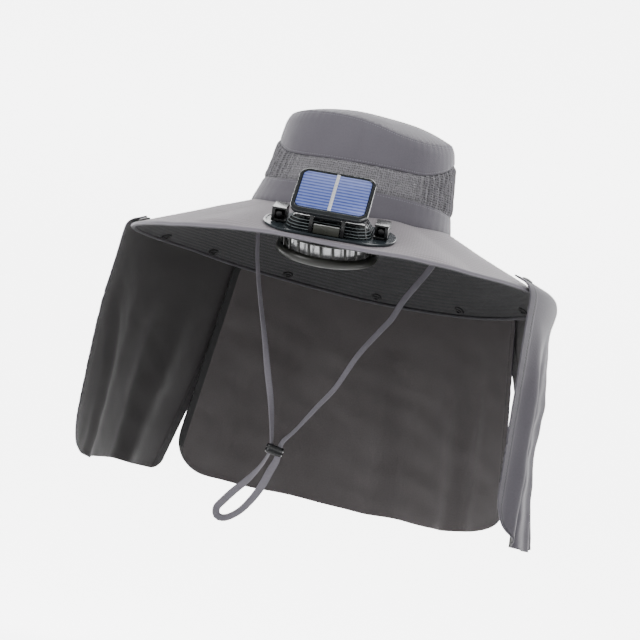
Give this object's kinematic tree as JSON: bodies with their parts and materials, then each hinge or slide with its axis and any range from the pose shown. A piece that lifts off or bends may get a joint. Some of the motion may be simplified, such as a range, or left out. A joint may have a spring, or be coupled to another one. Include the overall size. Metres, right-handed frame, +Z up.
{
  "type": "solar fan sun hat with neck flap",
  "caption": "Wide-brimmed cloth sun hat with a neck flap on press studs, a chin cord with a toggle, and a small fan in the front brim under a tilting solar panel.",
  "frame": {"origin": "middle of the head opening, at the height of the seam between crown and brim, where the hat sits on a head", "axes": "+Z up out of the crown, -Y towards the front of the hat where the fan is, +X towards the wearer's left"},
  "size_m": [0.4429, 0.4241, 0.3954],
  "materials": {
    "grey_nylon": "matt woven nylon",
    "grey_mesh": "knitted mesh",
    "brim_cloth": "stitched double cloth",
    "flap_nylon": "thin plain weave nylon",
    "cord_tape": "folded woven tape",
    "black_plastic": "moulded, slightly glossy",
    "smoked_plastic": "smoked cover",
    "silver_plastic": "silver moulded plastic",
    "solar_cell": "coated cell under clear resin",
    "tinned_busbar": "tinned copper"
  },
  "bodies": {
    "hat": {"crown_lower_band": "grey_nylon", "crown_mesh_band": "grey_mesh", "crown_upper_band": "grey_nylon", "crown_top": "grey_nylon", "brim": "brim_cloth", "brim_binding": "brim_cloth", "flap_right": "flap_nylon", "flap_rear": "flap_nylon", "flap_left": "flap_nylon", "stud_top_1": "black_plastic", "stud_top_2": "black_plastic", "stud_top_3": "black_plastic", "stud_top_4": "black_plastic", "stud_top_5": "black_plastic", "stud_top_6": "black_plastic", "stud_top_7": "black_plastic", "stud_top_8": "black_plastic", "stud_under_1": "black_plastic", "stud_under_2": "black_plastic", "stud_under_3": "black_plastic", "stud_under_4": "black_plastic", "stud_under_5": "black_plastic", "stud_under_6": "black_plastic", "stud_under_7": "black_plastic", "stud_under_8": "black_plastic", "chin_cord": "cord_tape", "cord_toggle": "black_plastic", "fan_plate": "black_plastic", "fan_cage": "black_plastic", "fan_guard": "black_plastic", "fan_clip_right": "black_plastic", "fan_clip_left": "black_plastic", "fan_cover": "smoked_plastic", "pivot_posts": "black_plastic"},
    "rotor": {"fan_rotor": "silver_plastic"},
    "solar_panel": {"solar_frame": "black_plastic", "solar_cell": "solar_cell", "solar_busbar": "tinned_busbar"}
  },
  "joints": [
    {"name": "rotor_spin", "type": "hinge", "parent": "hat", "child": "rotor", "pos_m": [0, -0.162, -0.02403], "axis": [0, -0.3074, 0.9516], "continuous": true},
    {"name": "panel_tilt", "type": "hinge", "parent": "hat", "child": "solar_panel", "pos_m": [0, -0.19101, -0.01491], "axis": [1, 0, 0], "range_deg": [-28, 62]}
  ]
}
